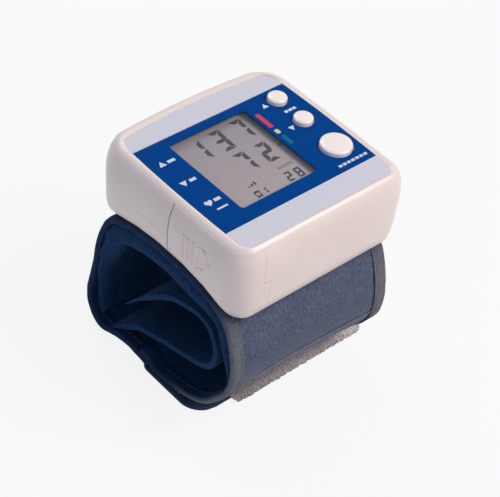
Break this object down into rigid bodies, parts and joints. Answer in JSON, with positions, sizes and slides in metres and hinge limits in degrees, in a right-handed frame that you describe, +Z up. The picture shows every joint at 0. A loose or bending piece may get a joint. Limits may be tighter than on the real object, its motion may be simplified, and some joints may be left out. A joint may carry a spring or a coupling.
{
  "type": "wrist blood pressure monitor",
  "caption": "Wrist blood pressure monitor: a rounded display housing with three keys on a wrapped fabric cuff, with its battery bay, pump, valve and sensor inside.",
  "frame": {"origin": "middle of the footprint on the surface that the monitor stands on", "axes": "+Z up through the display, +X to the right along the wrist and the text lines, +Y to the rear, away from the reader"},
  "size_m": [0.0717, 0.0729, 0.0798],
  "materials": {
    "white_abs": "satin moulded ABS",
    "key_abs": "smooth moulded ABS",
    "silver_plate": "pale silver blue print on a plastic plate",
    "blue_panel": "blue printed film",
    "clear_lens": "clear acrylic",
    "display_glass": "grey reflective display glass",
    "dark_plastic": "dark moulded plastic",
    "natural_plastic": "natural moulded plastic",
    "board_green": "solder mask on glass epoxy board",
    "steel": "plated steel",
    "cell_can": "printed cell jacket",
    "silicone": "translucent silicone tube",
    "bladder_film": "welded polyurethane film",
    "loop_fabric": "brushed nylon loop fabric",
    "lining_fabric": "smooth nylon knit",
    "binding_tape": "folded nylon tape, stitched",
    "hook_fabric": "moulded nylon hook tape"
  },
  "bodies": {
    "monitor": {"upper_case": "white_abs", "lower_case": "white_abs", "face_plate": "silver_plate", "control_panel": "blue_panel", "display_window": "clear_lens", "start_stop_switch": "dark_plastic", "memory_up_switch": "dark_plastic", "memory_down_switch": "dark_plastic", "lcd_glass": "display_glass", "lcd_frame": "dark_plastic", "lcd_contact_strip": "dark_plastic", "main_board": "board_green", "processor_chip": "dark_plastic", "pressure_sensor": "natural_plastic", "buzzer": "dark_plastic", "cell_left": "cell_can", "cell_right": "cell_can", "cell_contact_left": "steel", "cell_contact_right": "steel", "cell_bridge": "steel", "pump_motor": "steel", "pump_head": "natural_plastic", "air_manifold": "natural_plastic", "air_nipple": "natural_plastic", "pump_hose": "silicone", "valve_hose": "silicone", "release_valve": "steel", "screw_rear_left": "steel", "screw_rear_right": "steel", "screw_front_right": "steel", "screw_front_middle": "steel", "cuff_wrap": "loop_fabric", "edge_binding_left": "binding_tape", "edge_binding_right": "binding_tape", "cuff_curler": "natural_plastic", "air_bladder": "bladder_film", "cuff_lining": "lining_fabric", "inner_flap": "lining_fabric"},
    "start_stop_button": {"start_stop_button": "key_abs"},
    "memory_up_button": {"memory_up_button": "key_abs"},
    "memory_down_button": {"memory_down_button": "key_abs"},
    "battery_cover": {"battery_cover": "white_abs"},
    "closure_strap": {"closure_strap": "binding_tape", "hook_tape": "hook_fabric"},
    "pump_shaft": {"pump_shaft": "steel"},
    "valve_plunger": {"valve_plunger": "steel"}
  },
  "joints": [
    {"name": "start_stop_press", "type": "slide", "parent": "monitor", "child": "start_stop_button", "axis": [0, 0, -1], "range_m": [0, 0.0006], "stiffness_N_per_m": 250},
    {"name": "memory_up_press", "type": "slide", "parent": "monitor", "child": "memory_up_button", "axis": [0, 0, -1], "range_m": [0, 0.0006], "stiffness_N_per_m": 250},
    {"name": "memory_down_press", "type": "slide", "parent": "monitor", "child": "memory_down_button", "axis": [0, 0, -1], "range_m": [0, 0.0006], "stiffness_N_per_m": 250},
    {"name": "battery_cover_slide", "type": "slide", "parent": "monitor", "child": "battery_cover", "axis": [0, -1, 0], "range_m": [0, 0.038]},
    {"name": "closure_strap_peel", "type": "hinge", "parent": "monitor", "child": "closure_strap", "pos_m": [0, 0.0072, 0.0017], "axis": [1, 0, 0], "range_deg": [0, 80]},
    {"name": "pump_shaft_spin", "type": "hinge", "parent": "monitor", "child": "pump_shaft", "pos_m": [0.0065, 0.021, 0.0629], "axis": [1, 0, 0], "continuous": true},
    {"name": "valve_plunger_travel", "type": "slide", "parent": "monitor", "child": "valve_plunger", "axis": [-1, 0, 0], "range_m": [0, 0.001], "stiffness_N_per_m": 60}
  ]
}
